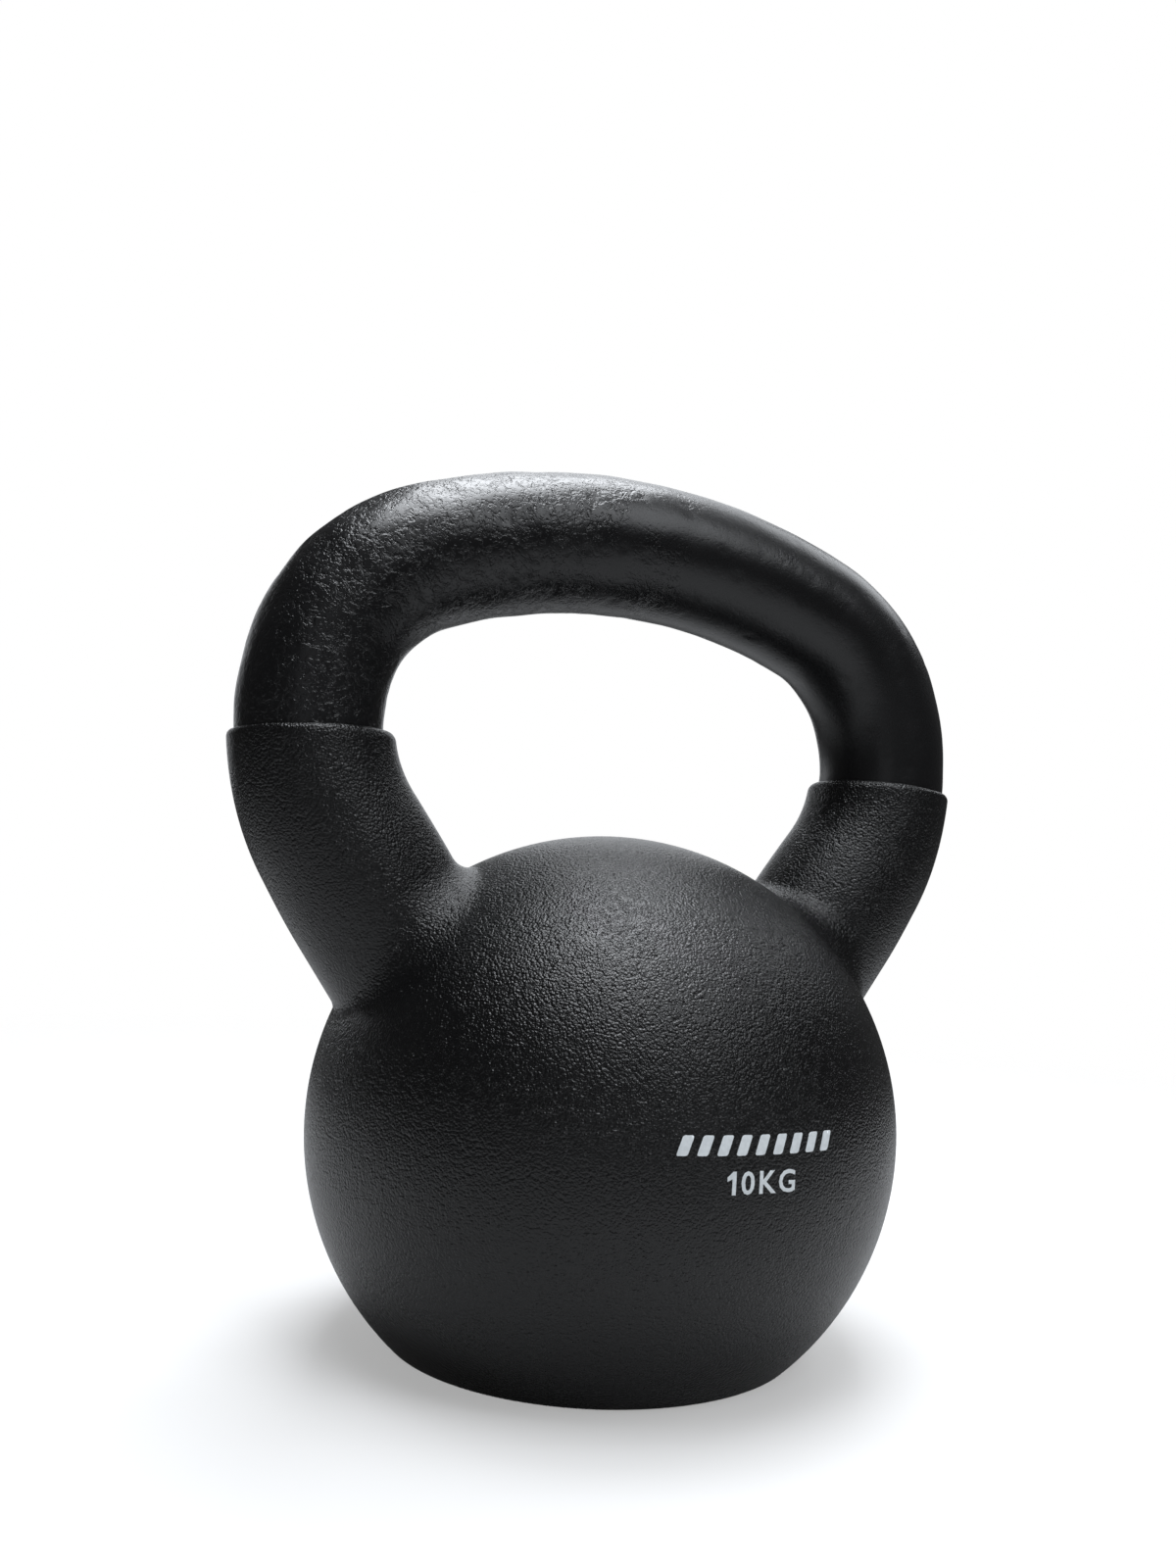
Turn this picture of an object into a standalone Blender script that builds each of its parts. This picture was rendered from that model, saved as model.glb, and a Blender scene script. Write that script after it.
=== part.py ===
# Kettlebell: a solid cast-iron ball, horns and handle in one casting, dipped to above the
# horns in a vinyl jacket, with the weight and a row of slanted bars printed on the jacket.
# Metres, +Z up. The origin is the centre of the flat base, the handle's plane is XZ, and
# the printed front faces -Y.

from math import asin, atan2, ceil, cos, degrees, pi, radians, sin, sqrt

import bmesh
import bpy
from mathutils import Vector

# Iron ball
ball_radius = 0.0661
base_flat_radius = 0.0460  # where the flat base cuts the ball, before its edge is rounded
base_edge_radius = 0.0022

# Handle, from a horn's foot up to the middle of the grip
foot_angle = 50.2  # degrees from the ball's top to where a horn's axis leaves it
horn_lean = 33.5  # degrees that a horn leans outwards
horn_straight = 0.0155  # straight length above the fillet
side_radius = 0.0456
side_turn = 57.7
shoulder_radius = 0.0363
shoulder_turn = 44.0
grip_bar_radius = 0.0155
foot_bar_radius = 0.0176
foot_fillet = 0.0064

# Jacket
jacket_wall = 0.00125
jacket_gap = 0.0003  # between the iron and the jacket, and between the jacket and the print
collar_length = 0.0390  # from the top of the foot's fillet to the jacket's rim
collar_bead = 0.0011  # more wall at the rim, on the side that faces the other horn
lip_radius = 0.0008

# Print
print_thickness = 0.00025
print_azimuth = 5.0  # degrees from the front towards the right horn
weight_height = 0.0044
weight_stroke = 0.0008
weight_spacing = 0.0011
weight_kern = 0.0005  # how much closer than that the G stands to the K
weight_rise = 0.0008  # centre of the figures above the ball's widest line
font_size = 1.36  # of the figures' height, for capitals of that height
font_thickening = 0.023  # of the figures' height
one_flag = 0.24  # the flag of the 1, of the figures' height
one_flag_cut = (0.25, 0.4)  # where the flag meets the stem's top and side, of the stroke
bar_count = 9
bar_height = 0.0038
bar_width = 0.0022
bar_pitch = 0.0040
bar_slant = 20.0
bar_corner = 0.0004
bar_rise = 0.0078

# Facets
ball_facets = 40  # round the ball, and half as many from its top to its bottom
tube_facets = 20
bend_step = 8.0  # most degrees between two rings of a bend
fillet_rings = 4
edge_rings = 3
hole_margin = 0.0012  # from a fillet's edge on the ball to the ball's own faces
sharp_angle = 35.0

jacket_offset = jacket_gap + jacket_wall
jacket_radius = ball_radius + jacket_offset
ball_centre = Vector((0, 0, jacket_offset + sqrt(ball_radius**2 - base_flat_radius**2)))
iron_base = jacket_offset
edge_level = iron_base + base_edge_radius
edge_centre_radius = sqrt((ball_radius - base_edge_radius) ** 2 - (ball_centre.z - edge_level) ** 2)

horn_axis = Vector((sin(radians(horn_lean)), 0, cos(radians(horn_lean))))
horn_foot = ball_centre + ball_radius * Vector((sin(radians(foot_angle)), 0, cos(radians(foot_angle))))


def across(heading):
    """The outward direction in the handle's plane, square to a centreline at this angle from +Z."""
    return Vector((cos(heading), 0, -sin(heading)))


def ring_direction(heading, index):
    angle = 2 * pi * index / tube_facets
    return cos(angle) * across(heading) + sin(angle) * Vector((0, 1, 0))


def fillet_centre(index):
    """Centre of the ball that rolls round a horn's foot, touching both the horn and the iron ball."""
    reach = foot_bar_radius + foot_fillet
    start = horn_foot + reach * ring_direction(radians(horn_lean), index) - ball_centre
    along = start.dot(horn_axis)
    return -along + sqrt(along**2 - start.length_squared + (ball_radius + foot_fillet) ** 2)


fillet_top = max(fillet_centre(index) for index in range(tube_facets))


def handle_stations():
    """(distance, point, heading) of each ring, from the top of the fillet up to the middle of the grip."""
    point = horn_foot + fillet_top * horn_axis
    heading = radians(horn_lean)
    distance = 0.0
    stations = []
    for step in range(1, 4):
        stations.append((horn_straight * step / 3, point + horn_straight * step / 3 * horn_axis, heading))
    distance, point, heading = stations[-1]
    bends = [(side_radius, radians(side_turn)), (shoulder_radius, radians(shoulder_turn)), (None, None)]
    for radius, turn in bends:
        if radius is None:
            turn = heading + pi / 2
            radius = point.x / sin(turn)
        centre = point - radius * across(heading)
        rings = ceil(degrees(turn) / bend_step)
        for ring in range(1, rings + 1):
            angle = heading - turn * ring / rings
            stations.append((distance + radius * turn * ring / rings, centre + radius * across(angle), angle))
        distance, point, heading = stations[-1]
    return stations


def station_at(stations, distance):
    for low, high in zip(stations, stations[1:]):
        if low[0] <= distance <= high[0]:
            share = (distance - low[0]) / (high[0] - low[0])
            return distance, low[1].lerp(high[1], share), low[2] + share * (high[2] - low[2])
    raise ValueError("the jacket's collar is longer than the horn")


def bar_radius_at(distance):
    """The bar narrows smoothly from a horn's foot to the jacket's rim, and is even from there on."""
    share = min(distance / collar_length, 1.0)
    return foot_bar_radius + (grip_bar_radius - foot_bar_radius) * share * share * (3 - 2 * share)


def bead_share_at(distance, index):
    """The collar thickens from nothing at the fillet, most on the side of the other horn."""
    share = min(distance / collar_length, 1.0)
    side = (1 - cos(2 * pi * index / tube_facets)) / 2
    return side * side * share * share * (3 - 2 * share)


def place(vert, outward, point, direction):
    vert.co = point
    vert[outward] = direction


def ball_outward(point):
    """Outward direction of the iron ball's surface at a point on it."""
    flat = Vector((point.x, point.y, 0))
    if point.z > edge_level + 1e-6 and (point - ball_centre).length > ball_radius - 1e-6:
        return (point - ball_centre).normalized()
    if flat.length <= edge_centre_radius + 1e-6:
        return Vector((0, 0, -1))
    return (point - flat.normalized() * edge_centre_radius - Vector((0, 0, edge_level))).normalized()


def add_half_ball(skin, outward):
    """Spins the ball's profile half a turn round, from -Y through +X to +Y."""
    edge_angle = pi - asin(edge_centre_radius / (ball_radius - base_edge_radius))
    rings = round(ball_facets / 2 * edge_angle / pi)
    profile = []
    for ring in range(rings + 1):
        angle = edge_angle * ring / rings
        profile.append(ball_centre + ball_radius * Vector((0, -sin(angle), cos(angle))))
    for ring in range(1, edge_rings + 1):
        angle = edge_angle + (pi - edge_angle) * ring / edge_rings
        corner = Vector((0, -edge_centre_radius, edge_level))
        profile.append(corner + base_edge_radius * Vector((0, -sin(angle), cos(angle))))
    for share in (0.5, 0.0):
        profile.append(Vector((0, -edge_centre_radius * share, iron_base)))
    verts = [skin.verts.new(point) for point in profile]
    edges = [skin.edges.new(pair) for pair in zip(verts, verts[1:])]
    bmesh.ops.spin(
        skin, geom=verts + edges, cent=ball_centre, axis=(0, 0, 1), angle=pi, steps=ball_facets // 2
    )
    bmesh.ops.remove_doubles(skin, verts=skin.verts[:], dist=1e-6)
    for vert in skin.verts:
        vert[outward] = ball_outward(vert.co)


def open_horn_hole(skin):
    """Takes away the ball's faces under a horn, and returns the edges round the hole."""
    clear = (foot_bar_radius + foot_fillet) * ball_radius / (ball_radius + foot_fillet) + hole_margin
    covered = set()
    for vert in skin.verts:
        offset = vert.co - horn_foot
        from_axis = (offset - offset.dot(horn_axis) * horn_axis).length
        if from_axis < clear and (vert.co - ball_centre).dot(horn_axis) > 0:
            covered.update(vert.link_faces)
    border = {edge for face in covered for edge in face.edges if not set(edge.link_faces) <= covered}
    bmesh.ops.delete(skin, geom=list(covered), context="FACES")
    return [edge for edge in border if edge.is_valid]


def foot_point(index, ring):
    """Point and outward direction on a horn's fillet, from the ball, ring 0, to the horn."""
    direction = ring_direction(radians(horn_lean), index)
    centre = horn_foot + (foot_bar_radius + foot_fillet) * direction + fillet_centre(index) * horn_axis
    to_ball = (ball_centre - centre).normalized()
    towards = to_ball.slerp(-direction, ring / fillet_rings)
    return centre + foot_fillet * towards, -towards


def half_skin(end=None):
    """The iron's surface for x > 0, open at x = 0, or up to a ring at the distance end along a horn."""
    skin = bmesh.new()
    outward = skin.verts.layers.float_vector.new("outward")
    number = skin.verts.layers.int.new("number")
    bead = skin.verts.layers.float.new("bead")
    add_half_ball(skin, outward)
    hole = open_horn_hole(skin)

    circle = bmesh.ops.create_circle(skin, cap_ends=False, segments=tube_facets, radius=foot_bar_radius)
    in_order = sorted(circle["verts"], key=lambda vert: atan2(vert.co.y, vert.co.x))
    for index, vert in enumerate(in_order):
        vert[number] = index
        place(vert, outward, *foot_point(index, 0))
    ring = list({edge for vert in circle["verts"] for edge in vert.link_edges})
    bmesh.ops.triangle_fill(skin, use_beauty=True, use_dissolve=False, edges=hole + ring, normal=horn_axis)

    def next_ring(edges, where):
        made = bmesh.ops.extrude_edge_only(skin, edges=edges)["geom"]
        for vert in (item for item in made if isinstance(item, bmesh.types.BMVert)):
            place(vert, outward, *where(vert[number]))
        return [item for item in made if isinstance(item, bmesh.types.BMEdge) and is_ring(item, made)]

    def is_ring(edge, made):
        return edge.verts[0] in made and edge.verts[1] in made

    for step in range(1, fillet_rings + 1):
        ring = next_ring(ring, lambda index, step=step: foot_point(index, step))
    for distance, point, heading in half_stations(end):
        radius = bar_radius_at(distance)

        def on_bar(index):
            direction = ring_direction(heading, index)
            return point + radius * direction, direction

        ring = next_ring(ring, on_bar)
        for vert in {vert for edge in ring for vert in edge.verts}:
            vert[bead] = bead_share_at(distance, vert[number])
    return skin


def half_stations(end):
    """The rings above the fillet. One is always at the jacket's rim, and none is close to that one."""
    stations = handle_stations()
    rim = station_at(stations, collar_length)
    others = [station for station in stations if abs(station[0] - collar_length) > 0.002]
    stations = sorted(others + [rim], key=lambda station: station[0])
    return [station for station in stations if end is None or station[0] <= end]


def move_out(skin, offset, more):
    """Moves a skin outwards, and by up to more where the collar thickens."""
    outward = skin.verts.layers.float_vector["outward"]
    bead = skin.verts.layers.float["bead"]
    for vert in skin.verts:
        vert.co += (offset + more * vert[bead]) * vert[outward]


def add_object(name, mesh, material):
    mesh.materials.append(material)
    mesh.shade_smooth()
    mesh.set_sharp_from_angle(angle=radians(sharp_angle))
    piece = bpy.data.objects.new(name, mesh)
    bpy.context.scene.collection.objects.link(piece)
    return piece


def closed_mesh(shape, name):
    """Mirrors the half to x < 0, faces everything outwards and returns it as a mesh."""
    for vert in shape.verts:
        if abs(vert.co.x) < 1e-6:
            vert.co.x = 0
    bmesh.ops.mirror(shape, geom=shape.verts[:] + shape.edges[:] + shape.faces[:], axis="X", merge_dist=1e-6)
    bmesh.ops.remove_doubles(shape, verts=shape.verts[:], dist=1e-6)
    bmesh.ops.recalc_face_normals(shape, faces=shape.faces[:])
    mesh = bpy.data.meshes.new(name)
    shape.to_mesh(mesh)
    shape.free()
    return mesh


def make_casting(material):
    return add_object("iron_casting", closed_mesh(half_skin(), "iron_casting"), material)


def make_jacket(material):
    """Two skins of the iron's shape, one over the other, joined by a rounded lip at each horn's rim."""
    shell = bmesh.new()
    for offset, more in ((jacket_gap, 0), (jacket_offset, collar_bead)):
        skin = half_skin(collar_length)
        move_out(skin, offset, more)
        if offset == jacket_gap:
            bmesh.ops.reverse_faces(skin, faces=skin.faces[:])
        layer = bpy.data.meshes.new("layer")
        skin.to_mesh(layer)
        skin.free()
        shell.from_mesh(layer)
        bpy.data.meshes.remove(layer)
    rim_point, rim_heading = station_at(handle_stations(), collar_length)[1:]
    along = Vector((sin(rim_heading), 0, cos(rim_heading)))
    at_rim = [
        edge
        for edge in shell.edges
        if edge.is_boundary and all(abs((vert.co - rim_point).dot(along)) < 1e-6 for vert in edge.verts)
    ]
    bmesh.ops.bridge_loops(shell, edges=at_rim)
    outer = grip_bar_radius + jacket_gap + jacket_wall / 2
    lip = [edge for edge in at_rim if all((vert.co - rim_point).length > outer for vert in edge.verts)]
    bmesh.ops.bevel(
        shell, geom=lip, offset=lip_radius, affect="EDGES", segments=2, profile=0.5, material=-1
    )
    return add_object("jacket", closed_mesh(shell, "jacket"), material)


def on_ball(flat):
    """Bends a flat print onto the jacket: x runs round the ball, y up it and z out of it."""
    height = jacket_radius + jacket_gap + flat.z
    azimuth = flat.x / jacket_radius + radians(print_azimuth)
    rise = flat.y / jacket_radius
    return ball_centre + height * Vector((cos(rise) * sin(azimuth), -cos(rise) * cos(azimuth), sin(rise)))


def prism(shape, outline):
    """A flat closed prism of the print's thickness over an outline of (x, y) points."""
    face = shape.faces.new([shape.verts.new((x, y, 0)) for x, y in outline])
    made = bmesh.ops.extrude_face_region(shape, geom=[face])["geom"]
    top = [item for item in made if isinstance(item, bmesh.types.BMVert)]
    bmesh.ops.translate(shape, verts=top, vec=(0, 0, print_thickness))


def figure_one(shape):
    """A stem with a slanted flag."""
    stem = weight_stroke
    flag = weight_height * one_flag
    top = weight_height
    top_cut, side_cut = (stem * share for share in one_flag_cut)
    prism(
        shape,
        [
            (flag, 0),
            (flag + stem, 0),
            (flag + stem, top),
            (flag + top_cut, top),
            (0, top - flag),
            (0, top - flag - stem),
            (flag, top - flag - side_cut),
        ],
    )


def font_figure(shape, letter):
    """A figure of Blender's own plain font, thickened to the print's stroke."""
    text = bpy.data.curves.new(letter, "FONT")
    text.body = letter
    text.resolution_u = 3
    text.extrude = print_thickness / 2
    text.size = weight_height * font_size
    text.offset = weight_height * font_thickening
    helper = bpy.data.objects.new(letter, text)
    bpy.context.scene.collection.objects.link(helper)
    bpy.context.view_layer.update()
    mesh = bpy.data.meshes.new_from_object(helper.evaluated_get(bpy.context.evaluated_depsgraph_get()))
    shape.from_mesh(mesh)
    bpy.data.objects.remove(helper)
    bpy.data.curves.remove(text)
    bpy.data.meshes.remove(mesh)
    bmesh.ops.remove_doubles(shape, verts=shape.verts[:], dist=1e-7)


def extent(shape, axis):
    values = [vert.co[axis] for vert in shape.verts]
    return min(values), max(values)


def print_piece(name, shape, corner, material):
    """Moves a flat figure's lower left back corner to the place given, and bends it onto the ball."""
    low = Vector([extent(shape, axis)[0] for axis in range(3)])
    for vert in shape.verts:
        vert.co = on_ball(vert.co - low + Vector((corner[0], corner[1], 0)))
    bmesh.ops.recalc_face_normals(shape, faces=shape.faces[:])
    mesh = bpy.data.meshes.new(name)
    shape.to_mesh(mesh)
    shape.free()
    return add_object(name, mesh, material)


def make_weight(material):
    figures = {"figure_one": None, "figure_zero": "0", "letter_k": "K", "letter_g": "G"}
    shapes = {}
    for name, letter in figures.items():
        shapes[name] = bmesh.new()
        if letter:
            font_figure(shapes[name], letter)
        else:
            figure_one(shapes[name])
    widths = {name: extent(shape, 0)[1] - extent(shape, 0)[0] for name, shape in shapes.items()}
    x = -(sum(widths.values()) + weight_spacing * (len(widths) - 1) - weight_kern) / 2
    for name, shape in shapes.items():
        if name == "letter_g":
            x -= weight_kern
        tall = extent(shape, 1)[1] - extent(shape, 1)[0]
        print_piece(name, shape, (x, weight_rise - tall / 2), material)
        x += widths[name] + weight_spacing


def make_bars(material):
    """A row of slanted bars above the weight."""
    lean = bar_height * sin(radians(bar_slant)) / cos(radians(bar_slant))
    x = -((bar_count - 1) * bar_pitch + bar_width + lean) / 2
    for index in range(bar_count):
        shape = bmesh.new()
        prism(shape, [(0, 0), (bar_width, 0), (bar_width + lean, bar_height), (lean, bar_height)])
        corners = [edge for edge in shape.edges if abs(edge.verts[0].co.z - edge.verts[1].co.z) > 1e-6]
        bmesh.ops.bevel(
            shape, geom=corners, offset=bar_corner, affect="EDGES", segments=2, profile=0.5, material=-1
        )
        place_at = (x + index * bar_pitch, bar_rise - bar_height / 2)
        print_piece(f"print_bar_{index + 1}", shape, place_at, material)


def make_material(name, colour, roughness, metallic):
    material = bpy.data.materials.new(name)
    material.use_nodes = True
    shader = material.node_tree.nodes["Principled BSDF"]
    shader.inputs["Base Color"].default_value = (*colour, 1)
    shader.inputs["Roughness"].default_value = roughness
    shader.inputs["Metallic"].default_value = metallic
    material.diffuse_color = (*colour, 1)
    return material


def main():
    for item in list(bpy.data.objects):
        bpy.data.objects.remove(item)
    iron = make_material("painted iron", (0.02, 0.02, 0.022), 0.38, 0.0)
    vinyl = make_material("black vinyl", (0.022, 0.022, 0.023), 0.6, 0.0)
    ink = make_material("pale ink", (0.62, 0.66, 0.68), 0.55, 0.0)
    make_casting(iron)
    make_jacket(vinyl)
    make_bars(ink)
    make_weight(ink)


main()
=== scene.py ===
# Kettlebell looks: the bare grip of black enamelled cast iron, the pebbled vinyl jacket and the
# marks printed on it. Metres, +Z up. The grip's plane is XZ and the printed front faces -Y.

from math import asin, atan2, cos, pi, radians, sin, sqrt

import bmesh
import bpy
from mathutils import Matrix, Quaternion, Vector, noise


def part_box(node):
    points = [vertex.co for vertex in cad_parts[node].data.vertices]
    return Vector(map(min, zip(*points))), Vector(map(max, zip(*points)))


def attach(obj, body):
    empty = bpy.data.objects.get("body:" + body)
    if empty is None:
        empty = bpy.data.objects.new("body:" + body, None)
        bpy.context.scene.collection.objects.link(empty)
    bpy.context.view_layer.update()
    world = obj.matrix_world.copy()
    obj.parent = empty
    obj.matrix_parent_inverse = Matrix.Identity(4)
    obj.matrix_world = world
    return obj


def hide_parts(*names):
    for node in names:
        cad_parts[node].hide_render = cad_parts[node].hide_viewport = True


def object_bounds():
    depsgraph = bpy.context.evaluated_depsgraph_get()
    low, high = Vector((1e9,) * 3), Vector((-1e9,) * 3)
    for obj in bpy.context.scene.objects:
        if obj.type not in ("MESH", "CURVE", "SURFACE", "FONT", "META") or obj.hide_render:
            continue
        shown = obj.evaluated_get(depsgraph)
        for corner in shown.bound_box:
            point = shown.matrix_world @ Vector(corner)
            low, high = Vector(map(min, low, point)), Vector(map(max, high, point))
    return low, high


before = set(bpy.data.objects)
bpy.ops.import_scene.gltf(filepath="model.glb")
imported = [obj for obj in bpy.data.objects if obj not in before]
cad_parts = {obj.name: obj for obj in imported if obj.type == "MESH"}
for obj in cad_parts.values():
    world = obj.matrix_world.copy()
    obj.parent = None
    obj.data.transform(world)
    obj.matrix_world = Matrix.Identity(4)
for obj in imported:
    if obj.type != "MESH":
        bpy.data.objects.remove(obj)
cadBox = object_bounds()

noise.seed_set(1)  # so that vector noise gives the same dents each run

# Sizes that the pieces share, in metres and as in the CAD part, except that the fillet is wider on
# a horn's front and back. The ball's radius and the iron's base are read off the frame.
ironLow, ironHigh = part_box("iron_casting")
cad = {
    "ballRadius": (ironHigh.y - ironLow.y) / 2,
    "base": ironLow.z,
    "baseFlatRadius": 0.0460,
    "baseEdgeRadius": 0.0022,
    "footAngle": radians(50.2),  # from the ball's top to where a horn's axis leaves it
    "hornLean": radians(33.5),
    "hornStraight": 0.0155,
    "sideRadius": 0.0456,
    "sideTurn": radians(57.7),
    "shoulderRadius": 0.0363,
    "shoulderTurn": radians(44.0),
    "gripBarRadius": 0.0155,
    "footBarRadius": 0.0176,
    "footFillet": 0.0064,
    "sideFillet": 0.0150,  # the same fillet on the horn's front and back
    "sidePower": 3,  # how quickly it narrows away from the front and back
    "collarLength": 0.0390,  # from the top of the foot's fillet to the jacket's rim
    "jacketWall": 0.00125,
    "jacketGap": 0.0003,
}
jacketOffset = cad["jacketGap"] + cad["jacketWall"]
footSamples = 180  # round a foot, for its outline on the ball
holeMargin = 0.35  # of a facet of the ball, left clear round a foot
merging = 1e-7  # points closer than this are the same
onPlane = 1e-6  # and closer than this to x = 0, they are on it

ballCentre = Vector((0, 0, cad["base"] + sqrt(cad["ballRadius"] ** 2 - cad["baseFlatRadius"] ** 2)))
edgeLevel = cad["base"] + cad["baseEdgeRadius"]
edgeCentreRadius = sqrt(
    (cad["ballRadius"] - cad["baseEdgeRadius"]) ** 2 - (ballCentre.z - edgeLevel) ** 2
)
hornAxis = Vector((sin(cad["hornLean"]), 0, cos(cad["hornLean"])))
hornFoot = ballCentre + cad["ballRadius"] * Vector((sin(cad["footAngle"]), 0, cos(cad["footAngle"])))
sideways = Vector((0, 1, 0))


def outOfBar(heading, turn):
    # turn 0 points away from the other horn, and pi points at it
    return cos(turn) * Vector((cos(heading), 0, -sin(heading))) + sin(turn) * sideways


def filletRadius(turn):
    sideShare = abs(sin(turn)) ** cad["sidePower"]
    return cad["footFillet"] + (cad["sideFillet"] - cad["footFillet"]) * sideShare


def filletCentre(turn):
    # where a ball that rolls round the foot touches both the horn and the iron ball
    reach = cad["footBarRadius"] + filletRadius(turn)
    start = hornFoot + reach * outOfBar(cad["hornLean"], turn) - ballCentre
    along = start.dot(hornAxis)
    lift = -along + sqrt(
        along**2 - start.length_squared + (cad["ballRadius"] + filletRadius(turn)) ** 2
    )
    return ballCentre + start + lift * hornAxis, lift


filletTop = filletCentre(pi)[1]


def centrelineRuns():
    # (distance, point, heading, radius, turn) at the start of each run, from the fillet's top
    # to the middle of the grip. The last arc closes on the plane x = 0.
    point = hornFoot + (filletTop + cad["hornStraight"]) * hornAxis
    distance, heading = cad["hornStraight"], cad["hornLean"]
    runs = []
    bends = [("sideRadius", "sideTurn"), ("shoulderRadius", "shoulderTurn"), (None, None)]
    for radiusName, turnName in bends:
        turn = cad[turnName] if turnName else heading + pi / 2
        radius = cad[radiusName] if radiusName else point.x / sin(turn)
        runs.append((distance, point, heading, radius, turn))
        centre = point - radius * outOfBar(heading, 0)
        heading -= turn
        point = centre + radius * outOfBar(heading, 0)
        distance += radius * turn
    return runs, distance


runs, halfLength = centrelineRuns()


def centreline(distance):
    if distance <= cad["hornStraight"]:
        return hornFoot + (filletTop + distance) * hornAxis, cad["hornLean"]
    start, point, heading, radius, turn = [run for run in runs if run[0] <= distance][-1]
    centre = point - radius * outOfBar(heading, 0)
    angle = heading - (distance - start) / radius
    return centre + radius * outOfBar(angle, 0), angle


def smooth(share):
    share = min(max(share, 0.0), 1.0)
    return share * share * (3 - 2 * share)


def barRadius(distance):
    taper = smooth(distance / cad["collarLength"])
    return cad["footBarRadius"] + (cad["gripBarRadius"] - cad["footBarRadius"]) * taper


def halfBall(skin, offset, facets, edgeRings):
    # half of the ball and its flat base, spun from -Y through +X to +Y
    edgeAngle = pi - asin(edgeCentreRadius / (cad["ballRadius"] - cad["baseEdgeRadius"]))
    rings = round(facets / 2 * edgeAngle / pi)
    profile = []
    for ring in range(rings + 1):
        angle = edgeAngle * ring / rings
        profile.append(ballCentre + (cad["ballRadius"] + offset) * Vector((0, -sin(angle), cos(angle))))
    corner = Vector((0, -edgeCentreRadius, edgeLevel))
    for ring in range(1, edgeRings + 1):
        angle = edgeAngle + (pi - edgeAngle) * ring / edgeRings
        profile.append(corner + (cad["baseEdgeRadius"] + offset) * Vector((0, -sin(angle), cos(angle))))
    baseRings = max(2, facets // 12)
    for ring in range(1, baseRings + 1):
        share = 1 - ring / baseRings
        profile.append(Vector((0, -edgeCentreRadius * share, cad["base"] - offset)))
    verts = [skin.verts.new(point) for point in profile]
    edges = [skin.edges.new(pair) for pair in zip(verts, verts[1:])]
    bmesh.ops.spin(
        skin, geom=verts + edges, cent=ballCentre, axis=(0, 0, 1), angle=pi, steps=facets // 2
    )
    bmesh.ops.remove_doubles(skin, verts=skin.verts[:], dist=merging)


def openFootHole(skin, facets):
    # takes away the ball's faces under the foot, and a little beyond the fillet's edge on the ball
    margin = holeMargin * 2 * pi * cad["ballRadius"] / facets
    centres = [filletCentre(2 * pi * step / footSamples)[0] - ballCentre for step in range(footSamples)]
    outline = [ballCentre + cad["ballRadius"] * centre.normalized() for centre in centres]
    reach = max((point - hornFoot).length for point in outline) + 2 * margin
    covered = set()
    for vert in skin.verts:
        if (vert.co - hornFoot).length < reach:
            nearest = min(outline, key=lambda point: (point - vert.co).length_squared)
            outwards = nearest - hornFoot
            outwards = (outwards - outwards.dot(hornAxis) * hornAxis).normalized()
            if (vert.co - nearest).dot(outwards) < margin:
                covered.update(vert.link_faces)
    border = {edge for face in covered for edge in face.edges if not set(edge.link_faces) <= covered}
    bmesh.ops.delete(skin, geom=list(covered), context="FACES")
    return [edge for edge in border if edge.is_valid]


def addRing(skin, edges, layer, places):
    # one more ring of faces along the bar. places gives a point for each number round the ring
    made = bmesh.ops.extrude_edge_only(skin, edges=edges)["geom"]
    verts = {item for item in made if isinstance(item, bmesh.types.BMVert)}
    for vert in verts:
        vert.co = places(vert[layer])
    return [item for item in made if isinstance(item, bmesh.types.BMEdge) and set(item.verts) <= verts]


def halfSkin(facets, tubeFacets, edgeRings, filletRings, ballOffset, rings):
    # The surface of the half x > 0. rings holds (distance, wall) pairs up the bar, where
    # wall(turn) is how far the skin stands off the iron.
    skin = bmesh.new()
    number = skin.verts.layers.int.new("number")
    halfBall(skin, ballOffset, facets, edgeRings)
    hole = openFootHole(skin, facets)

    def footPoint(index, share):
        turn = 2 * pi * index / tubeFacets
        centre = filletCentre(turn)[0]
        toBall = (ballCentre - centre).normalized()
        towards = toBall.slerp(-outOfBar(cad["hornLean"], turn), share)
        return centre + (filletRadius(turn) - ballOffset) * towards

    circle = bmesh.ops.create_circle(skin, segments=tubeFacets, radius=cad["footBarRadius"])
    inOrder = sorted(circle["verts"], key=lambda vert: atan2(vert.co.y, vert.co.x))
    for index, vert in enumerate(inOrder):
        vert[number] = index
        vert.co = footPoint(index, 0)
    ring = list({edge for vert in circle["verts"] for edge in vert.link_edges})
    bmesh.ops.triangle_fill(skin, use_beauty=True, edges=hole + ring, normal=hornAxis)

    for step in range(1, filletRings + 1):
        ring = addRing(skin, ring, number, lambda index: footPoint(index, step / filletRings))
    for distance, wall in rings:

        def barPoint(index):
            turn = 2 * pi * index / tubeFacets
            spread = max(0.0, 1 - distance / cad["hornStraight"])
            at = distance + (filletCentre(turn)[1] - filletTop) * spread
            point, heading = centreline(at + wall(turn)[1])
            return point + (barRadius(at) + wall(turn)[0]) * outOfBar(heading, turn)

        ring = addRing(skin, ring, number, barPoint)
    return skin


def mirrored(skin, name):
    # the whole piece from its half, faced outwards, as a mesh
    for vert in skin.verts:
        if abs(vert.co.x) < onPlane:
            vert.co.x = 0
    everything = skin.verts[:] + skin.edges[:] + skin.faces[:]
    bmesh.ops.mirror(skin, geom=everything, axis="X", merge_dist=onPlane)
    bmesh.ops.remove_doubles(skin, verts=skin.verts[:], dist=merging)
    bmesh.ops.recalc_face_normals(skin, faces=skin.faces[:])
    mesh = bpy.data.meshes.new(name)
    skin.to_mesh(mesh)
    return mesh


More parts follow.
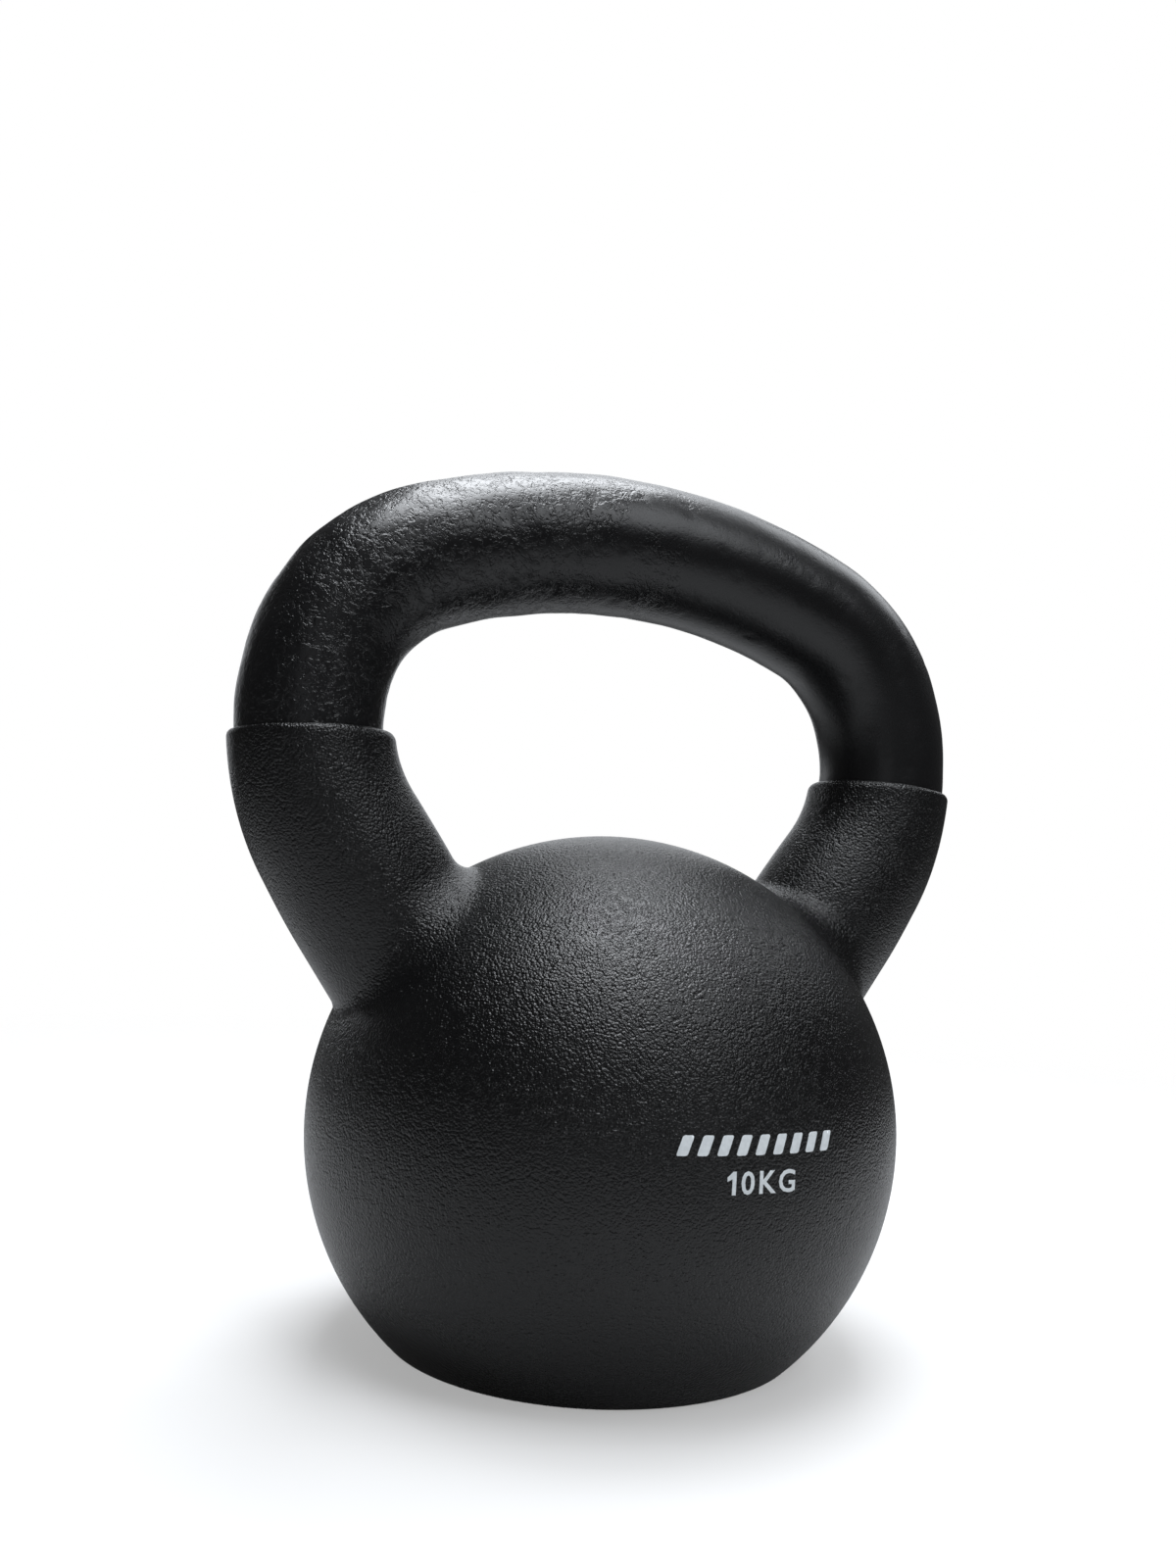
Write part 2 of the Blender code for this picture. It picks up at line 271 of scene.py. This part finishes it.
def addPiece(name, mesh, material, nodes, sharpAngle=40):
    mesh.materials.append(material)
    mesh.shade_smooth()
    mesh.set_sharp_from_angle(angle=radians(sharpAngle))
    piece = bpy.data.objects.new(name, mesh)
    bpy.context.scene.collection.objects.link(piece)
    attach(piece, "root")
    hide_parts(*nodes)
    print(f"{name}: {len(mesh.polygons)} faces")


# Shader maths: an expression on sockets adds its own Math nodes
class Socket:
    def __init__(self, tree, socket):
        self.tree = tree
        self.socket = socket

    def math(self, operation, *values):
        return self.tree.node("ShaderNodeMath", {"operation": operation}, dict(enumerate(values)))

    def __add__(self, other):
        return self.math("ADD", self, other)

    def __radd__(self, other):
        return self.math("ADD", other, self)

    def __sub__(self, other):
        return self.math("SUBTRACT", self, other)

    def __rsub__(self, other):
        return self.math("SUBTRACT", other, self)

    def __mul__(self, other):
        return self.math("MULTIPLY", self, other)

    def __rmul__(self, other):
        return self.math("MULTIPLY", other, self)

    def absolute(self):
        return self.math("ABSOLUTE", self)

    def between(self, low, high):
        # 0 at low, 1 at high, and smooth from one to the other
        settings = {"interpolation_type": "SMOOTHSTEP"}
        inputs = {"Value": self, "From Min": low, "From Max": high}
        return self.tree.node("ShaderNodeMapRange", settings, inputs)


class Tree:
    def __init__(self, nodeTree):
        self.nodes = nodeTree.nodes
        self.links = nodeTree.links
        self.nodes.clear()

    def node(self, kind, settings=None, inputs=None, output=0):
        made = self.nodes.new(kind)
        for name, value in (settings or {}).items():
            setattr(made, name, value)
        for name, value in (inputs or {}).items():
            if isinstance(value, Socket):
                self.links.new(value.socket, made.inputs[name])
            else:
                made.inputs[name].default_value = value
        return Socket(self, made.outputs[output]) if made.outputs else made

    def place(self):
        return self.node("ShaderNodeTexCoord", output="Object")

    def axis(self, name):
        return self.node("ShaderNodeSeparateXYZ", None, {0: self.place()}, name)

    def noise(self, size, detail=2.0, roughness=0.5, distortion=0.0, at=None):
        # size is how far apart the lumps are, in metres
        inputs = {"Scale": 1 / size, "Detail": detail, "Roughness": roughness, "Distortion": distortion}
        return self.node("ShaderNodeTexNoise", None, {"Vector": at or self.place(), **inputs})

    def pebbles(self, size, softness):
        # round lumps side by side: 1 at a lump's middle, and 0 halfway to the next
        settings = {"feature": "SMOOTH_F1"}
        inputs = {"Vector": self.place(), "Scale": 1 / size, "Smoothness": softness}
        apart = self.node("ShaderNodeTexVoronoi", settings, inputs)
        return 1 - apart * apart * 2.5

    def mixColours(self, share, first, second):
        return self.node("ShaderNodeMix", {"data_type": "RGBA"}, {0: share, 6: first, 7: second}, 2)

    def finish(self, depth, height, **inputs):
        # height runs from about 0 to 1, and depth is what 1 stands for in metres
        bump = self.node("ShaderNodeBump", None, {"Distance": depth, "Height": height})
        sockets = {name.replace("_", " "): value for name, value in inputs.items()}
        shader = self.node("ShaderNodeBsdfPrincipled", None, {**sockets, "Normal": bump})
        self.node("ShaderNodeOutputMaterial", None, {"Surface": shader})


def newMaterial(name):
    material = bpy.data.materials.new(name)
    material.use_nodes = True
    return material, Tree(material.node_tree)


# The casting: a coarse body that the jacket hides, and a fine bare grip. Its dents, and the pits
# and cracks of its enamel, are deeper towards the horn at x < 0.
casting = {
    "ballFacets": 56,
    "tubeFacets": 176,
    "edgeRings": 2,
    "filletRings": 4,
    "hiddenStep": 0.004,
    "bareStep": 0.0006,
    # lumps and dents moved into the bare grip
    "bareFrom": 0.11,  # height below which nothing is bare
    "bareSamples": 400,
    "lumpDepth": 0.00028,
    "lumpSize": 0.0085,
    "swellDepth": 0.00022,
    "swellSize": 0.030,
    "swellSeed": Vector((7, 3, 5)),
    "dentDepth": 0.00020,
    "dentSize": 0.0036,
    "dentReach": 0.62,  # a dent's radius, as a share of its size
    "dentWarp": 0.35,
    "dentSeed": 1.7,
    "dentContrast": 2.5,
    "smoothShare": 0.45,  # of the relief, at the end that has the least
    "roughFrom": 0.030,  # the x where it starts to grow, and how far it grows
    "roughSpan": 0.060,
    "rimClear": 0.0005,  # above the rim, before the relief comes in
    "rimFade": 0.004,
    # enamel
    "pittedSide": (0.030, -0.040),
    "pittedSideWeight": 0.42,
    "patchSize": 0.014,
    "patchRange": (0.56, 0.86),
    "pitSize": 0.0018,
    "pitRange": (0.34, 0.52),
    "pitDepths": (0.03, 0.42),  # everywhere, and added to it in the patches
    "pinholeSize": 0.0007,
    "pinholeRange": (0.30, 0.45),
    "pinholeDepths": (0.04, 0.20),
    "crackSize": 0.0032,
    "crackStretch": (0.4, 1.0, 1.0),
    "crackWidth": 0.05,
    "crackDepth": 0.35,
    "crackPatchSize": 0.012,
    "crackPatchRange": (0.54, 0.66),
    "peelSize": 0.0014,
    "peelDepth": 0.14,
    "smearSize": 0.022,
    "smearRange": (0.35, 0.75),
    "reliefDepth": 0.00020,
    "darkest": (0.0028, 0.0028, 0.0033, 1),
    "palest": (0.0050, 0.0050, 0.0056, 1),
    "roughness": 0.33,
    "pittedGloss": 0.05,
    "smearRoughness": 0.06,
    "specular": 0.45,
}


def gripRelief(point, distance):
    growth = smooth((casting["roughFrom"] - point.x) / casting["roughSpan"])
    rough = casting["smoothShare"] + (1 - casting["smoothShare"]) * growth
    lumps = casting["lumpDepth"] * noise.noise(point / casting["lumpSize"])
    swells = casting["swellDepth"] * noise.noise(point / casting["swellSize"] + casting["swellSeed"])
    warp = casting["dentWarp"] * noise.noise_vector(point / casting["lumpSize"])
    apart, spots = noise.voronoi(point / casting["dentSize"] + warp)
    chosen = smooth(noise.noise(spots[0] * casting["dentSeed"]) * casting["dentContrast"])
    dents = casting["dentDepth"] * chosen * smooth(1 - apart[0] / casting["dentReach"])
    fadeIn = smooth((distance - cad["collarLength"] - casting["rimClear"]) / casting["rimFade"])
    return fadeIn * (swells + rough * (lumps - dents))


def makeEnamel():
    material, tree = newMaterial("blackEnamel")
    side = tree.axis("X").between(*casting["pittedSide"]) * casting["pittedSideWeight"]
    pitted = (tree.noise(casting["patchSize"], detail=3.0) + side).between(*casting["patchRange"])
    pitNoise = tree.noise(casting["pitSize"], detail=3.0, roughness=0.6, distortion=0.5)
    pits = 1 - pitNoise.between(*casting["pitRange"])
    pinholes = 1 - tree.noise(casting["pinholeSize"], detail=1.0).between(*casting["pinholeRange"])
    stretch = {"Vector": tree.place(), "Scale": casting["crackStretch"]}
    stretched = tree.node("ShaderNodeMapping", None, stretch)
    ridges = tree.noise(casting["crackSize"], detail=2.0, distortion=0.3, at=stretched) - 0.5
    cracks = ridges.absolute().between(casting["crackWidth"], 0.0)
    crackPatches = tree.noise(casting["crackPatchSize"], detail=2.0)
    cracked = crackPatches.between(*casting["crackPatchRange"]) * pitted

    everywhere, inPatches = casting["pitDepths"]
    dips = pits * (pitted * inPatches + everywhere)
    everywhere, inPatches = casting["pinholeDepths"]
    dips = dips + pinholes * (pitted * inPatches + everywhere)
    dips = dips + cracks * cracked * casting["crackDepth"]
    peel = tree.noise(casting["peelSize"], detail=2.0) * casting["peelDepth"]
    smear = tree.noise(casting["smearSize"], detail=4.0)
    smearRoughness = smear.between(*casting["smearRange"]) * casting["smearRoughness"]
    tree.finish(
        casting["reliefDepth"],
        1.0 + peel - dips,
        Base_Color=tree.mixColours(smear, casting["darkest"], casting["palest"]),
        Roughness=casting["roughness"] - pitted * casting["pittedGloss"] + smearRoughness,
        Specular_IOR_Level=casting["specular"],
    )
    return material


def addRelief(mesh):
    # moves the bare grip's points along their normals
    rim, samples = cad["collarLength"], casting["bareSamples"]
    distances = [rim + (halfLength - rim) * step / samples for step in range(samples + 1)]
    centres = [centreline(distance)[0] for distance in distances]
    moved = []
    for vert in mesh.vertices:
        if vert.co.z < casting["bareFrom"]:
            continue
        flat = Vector((abs(vert.co.x), 0, vert.co.z))
        nearest = min(range(samples + 1), key=lambda step: (centres[step] - flat).length_squared)
        if nearest > 0:
            moved.append((vert.index, vert.co + gripRelief(vert.co, distances[nearest]) * vert.normal))
    for index, place in moved:
        mesh.vertices[index].co = place


def makeCasting():
    rim = cad["collarLength"]
    hidden = int(rim / casting["hiddenStep"])
    bare = round((halfLength - rim) / casting["bareStep"])
    distances = [rim * (step + 1) / hidden for step in range(hidden)]
    distances += [rim + (halfLength - rim) * (step + 1) / bare for step in range(bare)]
    rings = [(distance, lambda turn: (0.0, 0.0)) for distance in distances]
    skin = halfSkin(
        casting["ballFacets"],
        casting["tubeFacets"],
        casting["edgeRings"],
        casting["filletRings"],
        0.0,
        rings,
    )
    mesh = mirrored(skin, "ironCasting")
    skin.free()
    addRelief(mesh)
    addPiece("iron_casting_fine", mesh, makeEnamel(), ["iron_casting"])


# The jacket: a fine outside, and a coarse inside that is only there to close it. The collar
# thickens towards its rim, on the side that faces the other horn.
jacket = {
    "ballFacets": 208,
    "tubeFacets": 160,
    "edgeRings": 8,
    "filletRings": 16,
    "collarStep": 0.0009,
    "lipRings": 9,
    "innerBallFacets": 48,
    "innerEdgeRings": 2,
    "innerFilletRings": 4,
    "innerStep": 0.005,
    "collarBead": 0.0011,  # more wall at the rim, where it is thickest
    "lipShare": 0.82,  # of the wall that the rim's rounding takes
    "lipLength": 0.0011,
    "beadLipLength": 0.0022,  # added to it where the collar is thickest
    "rimWander": 0.00010,  # how far the rim strays up and down
    "rimWaves": ((2.3, 1.0), (7.1, 0.5)),  # how many, and how high
    "planeClear": 0.0001,  # the rim stays farther than this from the plane x = 0
    # vinyl: pebbles of two sizes, of uneven height, over a faint broad unevenness
    "pebbleSize": 0.00057,
    "pebbleSoftness": 0.35,
    "finerSize": 0.55,  # as a share of the pebbles' size
    "finerSoftness": 0.2,
    "unevenSize": 0.0017,
    "unevenRange": (0.15, 0.65),
    "broadSize": 0.005,
    "heights": (0.75, 0.25, 0.25, 0.5),  # pebbles, finer ones, uneven, broad
    "reliefDepth": 0.00012,
    "smearSize": 0.035,
    "smearRange": (0.3, 0.7),
    "fineSize": 0.0009,
    "smearShare": 0.7,  # of the colour's mottle, and the rest is fine
    "darkest": (0.0022, 0.0022, 0.0024, 1),
    "palest": (0.0046, 0.0046, 0.0050, 1),
    "roughness": 0.23,
    "smearRoughness": 0.05,
    "fineRoughness": 0.05,
    "specular": 0.4,
}


def wallAt(distance, turn):
    # how far the jacket's outside stands off the iron
    side = ((1 - cos(turn)) / 2) ** 2
    wall = cad["jacketWall"] + jacket["collarBead"] * side * smooth(distance / cad["collarLength"])
    lipLength = jacket["lipLength"] + jacket["beadLipLength"] * side
    share = min(max(1 - (cad["collarLength"] - distance) / lipLength, 0.0), 1.0)
    return cad["jacketGap"] + wall * (1 - jacket["lipShare"] * (1 - sqrt(1 - share * share)))


def rimWander(turn):
    around = Vector((cos(turn), sin(turn), 0))
    return jacket["rimWander"] * sum(
        height * noise.noise(around * count) for count, height in jacket["rimWaves"]
    )


def makeVinyl():
    material, tree = newMaterial("blackVinyl")
    pebbles = tree.pebbles(jacket["pebbleSize"], jacket["pebbleSoftness"])
    finer = tree.pebbles(jacket["pebbleSize"] * jacket["finerSize"], jacket["finerSoftness"])
    uneven = tree.noise(jacket["unevenSize"], detail=2.0)
    broad = tree.noise(jacket["broadSize"], detail=2.0)
    pebbleHeight, finerHeight, unevenHeight, broadHeight = jacket["heights"]
    height = pebbles * uneven.between(*jacket["unevenRange"]) * pebbleHeight + finer * finerHeight
    height = height + uneven * unevenHeight + broad * broadHeight
    smear = tree.noise(jacket["smearSize"], detail=4.0, roughness=0.55)
    fine = tree.noise(jacket["fineSize"], detail=1.0)
    mottle = smear * jacket["smearShare"] + fine * (1 - jacket["smearShare"])
    smearRoughness = smear.between(*jacket["smearRange"]) * jacket["smearRoughness"]
    tree.finish(
        jacket["reliefDepth"],
        height,
        Base_Color=tree.mixColours(mottle, jacket["darkest"], jacket["palest"]),
        Roughness=jacket["roughness"] + smearRoughness + fine * jacket["fineRoughness"],
        Specular_IOR_Level=jacket["specular"],
    )
    return material


def outerRings():
    # even steps up to the rounded lip, then steps that close up towards the rim
    lipStart = cad["collarLength"] - jacket["lipLength"]
    count = round(lipStart / jacket["collarStep"])
    rings = []
    for step in range(1, count + jacket["lipRings"] + 1):
        lipAngle = pi / 2 * max(0, step - count) / jacket["lipRings"]
        distance = lipStart * min(step, count) / count + jacket["lipLength"] * sin(lipAngle)

        def wall(turn, distance=distance, lipAngle=lipAngle):
            return wallAt(distance, turn), rimWander(turn) * sin(lipAngle)

        rings.append((distance, wall))
    return rings


def innerRings():
    # only the last ring follows the rim up and down
    count = round(cad["collarLength"] / jacket["innerStep"])
    rings = []
    for step in range(1, count + 1):

        def wall(turn, atRim=step == count):
            return cad["jacketGap"], rimWander(turn) if atRim else 0.0

        rings.append((cad["collarLength"] * step / count, wall))
    return rings


def makeJacket():
    skin = halfSkin(
        jacket["ballFacets"],
        jacket["tubeFacets"],
        jacket["edgeRings"],
        jacket["filletRings"],
        jacketOffset,
        outerRings(),
    )
    inner = halfSkin(
        jacket["innerBallFacets"],
        jacket["tubeFacets"],
        jacket["innerEdgeRings"],
        jacket["innerFilletRings"],
        cad["jacketGap"],
        innerRings(),
    )
    bmesh.ops.reverse_faces(inner, faces=inner.faces[:])
    innerMesh = bpy.data.meshes.new("innerSkin")
    inner.to_mesh(innerMesh)
    inner.free()
    skin.from_mesh(innerMesh)
    bpy.data.meshes.remove(innerMesh)
    # the open edges on the plane x = 0 meet the other half, and the rest are the rim's
    boundary = [edge for edge in skin.edges if edge.is_boundary]
    rim = [edge for edge in boundary if min(vert.co.x for vert in edge.verts) > jacket["planeClear"]]
    bmesh.ops.bridge_loops(skin, edges=rim)
    mesh = mirrored(skin, "vinylJacket")
    skin.free()
    addPiece("jacket_fine", mesh, makeVinyl(), ["jacket"])


# The marks: the CAD's own outlines, thinned to ink on the jacket, with slightly rough edges
prints = {
    "proud": 0.00005,
    "sunk": 0.00012,
    "edgeStep": 0.00048,  # the longest edge of an outline
    "cutRounds": 3,
    "edgeWander": 0.000035,
    "wanderSize": 0.0004,
    "mottleSize": 0.0011,
    "mottleRange": (0.3, 0.7),
    "mottleHeight": 0.5,
    "wornSize": 0.0004,
    "reliefDepth": 0.00003,
    "darkest": (0.70, 0.745, 0.77, 1),
    "palest": (0.80, 0.845, 0.87, 1),
    "roughness": 0.52,
    "mottleRoughness": 0.12,
}


def makeInk():
    material, tree = newMaterial("paleInk")
    mottle = tree.noise(prints["mottleSize"], detail=3.0)
    worn = tree.noise(prints["wornSize"], detail=2.0)
    share = mottle.between(*prints["mottleRange"])
    tree.finish(
        prints["reliefDepth"],
        worn + mottle * prints["mottleHeight"],
        Base_Color=tree.mixColours(share, prints["darkest"], prints["palest"]),
        Roughness=prints["roughness"] + mottle * prints["mottleRoughness"],
    )
    return material


def makePrint(name, node, ink):
    shape = bmesh.new()
    shape.from_mesh(node.data)
    bmesh.ops.remove_doubles(shape, verts=shape.verts[:], dist=onPlane)
    for cut in range(prints["cutRounds"]):
        long = [edge for edge in shape.edges if edge.calc_length() > prints["edgeStep"]]
        if long:
            bmesh.ops.subdivide_edges(shape, edges=long, cuts=1)
            uneven = [face for face in shape.faces if len(face.verts) > 3]
            bmesh.ops.triangulate(shape, faces=uneven)
    heights = [(vert.co - ballCentre).length for vert in shape.verts]
    middle = (min(heights) + max(heights)) / 2
    outside = cad["ballRadius"] + jacketOffset
    for vert in shape.verts:
        away = vert.co - ballCentre
        height = outside + (prints["proud"] if away.length > middle else -prints["sunk"])
        wander = prints["edgeWander"] * noise.noise_vector(vert.co / prints["wanderSize"])
        vert.co = ballCentre + height * (away + wander).normalized()
    bmesh.ops.recalc_face_normals(shape, faces=shape.faces[:])
    mesh = bpy.data.meshes.new(name + "_ink")
    shape.to_mesh(mesh)
    shape.free()
    addPiece(name + "_ink", mesh, ink, [name])


def makePrints():
    ink = makeInk()
    for name, node in sorted(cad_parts.items()):
        if name not in ("iron_casting", "jacket"):
            makePrint(name, node, ink)


# The studio: a pale floor, one large soft light overhead and dimmer ones round it
studio = {
    "floorRadius": 0.85,
    "floorShare": 0.62,  # the rest of the floor is the white beyond it
    "floorFadeFrom": 0.25,  # of the radius, outside which the floor fades away
    "floorDark": (0.80, 0.80, 0.80, 1),
    "floorPale": (0.82, 0.82, 0.82, 1),
    "floorMottle": 0.5,
    "floorRelief": 0.0001,
    "floorRoughness": 0.7,
    "worldColour": (1, 1, 1, 1),
    "worldStrength": 0.06,
    "seenStrength": 1.0,  # what the camera sees beyond the floor
    "lampColour": (0.93, 0.96, 1.0),
    "lampDistance": 1.1,
    "lamps": {
        # name: (size, power, azimuth, elevation)
        "topBack": (0.55, 9.3, 158.0, 75.0),
        "topFront": (0.55, 6.9, -22.0, 75.0),
        "top": (0.55, 3.6, 0.0, 90.0),
        "frontHigh": (0.55, 3.4, 23.0, 45.0),
        "rightHigh": (0.55, 2.6, 113.0, 45.0),
        "backHigh": (0.55, 1.7, 158.0, 45.0),
        "backLeft": (0.45, 0.7, -166.0, 15.0),
        "backRight": (0.45, 0.7, 158.0, 15.0),
        "frontLow": (0.45, 0.25, -22.0, 15.0),
    },
}


def makeFloor():
    material, tree = newMaterial("paleFloor")
    mottle = tree.noise(studio["floorMottle"], detail=2.0)
    away = tree.node("ShaderNodeVectorMath", {"operation": "LENGTH"}, {0: tree.place()}, "Value")
    fadeFrom = studio["floorRadius"] * studio["floorFadeFrom"]
    tree.finish(
        studio["floorRelief"],
        mottle,
        Base_Color=tree.mixColours(mottle, studio["floorDark"], studio["floorPale"]),
        Roughness=studio["floorRoughness"],
        Alpha=away.between(studio["floorRadius"], fadeFrom) * studio["floorShare"],
    )
    shape = bmesh.new()
    bmesh.ops.create_circle(shape, cap_ends=True, segments=96, radius=studio["floorRadius"])
    mesh = bpy.data.meshes.new("floor")
    shape.to_mesh(mesh)
    shape.free()
    mesh.materials.append(material)
    floor = bpy.data.objects.new("floor", mesh)
    bpy.context.scene.collection.objects.link(floor)
    print(f"floor: {studio['floorRadius']} m in radius")


def makeLamps(target):
    for name, (size, power, azimuth, elevation) in studio["lamps"].items():
        data = bpy.data.lights.new(name, "AREA")
        data.size = size
        data.energy = power
        data.color = studio["lampColour"]
        lamp = bpy.data.objects.new(name, data)
        bpy.context.scene.collection.objects.link(lamp)
        towards = direction(azimuth, elevation)
        lamp.location = target + studio["lampDistance"] * towards
        lamp.rotation_euler = towards.to_track_quat("Z", "Y").to_euler()
    print(f"lamps: {len(studio['lamps'])}")


def makeWorld():
    world = bpy.data.worlds.new("studioWorld")
    bpy.context.scene.world = world
    world.use_nodes = True
    tree = Tree(world.node_tree)
    dim, seen = [
        tree.node("ShaderNodeBackground", None, {"Color": studio["worldColour"], "Strength": strength})
        for strength in (studio["worldStrength"], studio["seenStrength"])
    ]
    path = tree.node("ShaderNodeLightPath", output="Is Camera Ray")
    mixed = tree.node("ShaderNodeMixShader", None, {0: path, 1: dim, 2: seen})
    tree.node("ShaderNodeOutputWorld", None, {"Surface": mixed})
    bpy.context.scene.view_settings.view_transform = "Standard"
    print("world: white to the camera, dim to everything else")


def direction(azimuth, elevation):
    # azimuth 0 is the front, -Y, and goes round towards +X
    azimuth, elevation = radians(azimuth), radians(elevation)
    return Vector((sin(azimuth) * cos(elevation), -cos(azimuth) * cos(elevation), sin(elevation)))


camera = {
    "azimuth": -22.2,
    "elevation": 0.2,
    "roll": 3.11,
    "distance": 0.2995,
    "targetHeight": 0.485,  # as a share of the object's height
    "lens": 39.15,
    "sensor": 36,
    "clipStart": 0.01,
    "shift": (-0.0201, 0.1179),
}


def makeCamera():
    data = bpy.data.cameras.new("camera")
    data.sensor_fit = "HORIZONTAL"
    data.sensor_width = camera["sensor"]
    data.lens = camera["lens"]
    data.shift_x, data.shift_y = camera["shift"]
    data.clip_start = camera["clipStart"]
    eye = bpy.data.objects.new("camera", data)
    bpy.context.scene.collection.objects.link(eye)
    target = Vector((0, 0, cadBox[1].z * camera["targetHeight"]))
    back = direction(camera["azimuth"], camera["elevation"])
    eye.location = target + camera["distance"] * back
    turned = back.to_track_quat("Z", "Y") @ Quaternion((0, 0, 1), radians(camera["roll"]))
    eye.rotation_euler = turned.to_euler()
    bpy.context.scene.camera = eye
    print(f"camera: lens {camera['lens']} mm")
    return target


target = makeCamera()
makeFloor()
makeLamps(target)
makeWorld()
makeCasting()
makeJacket()
makePrints()
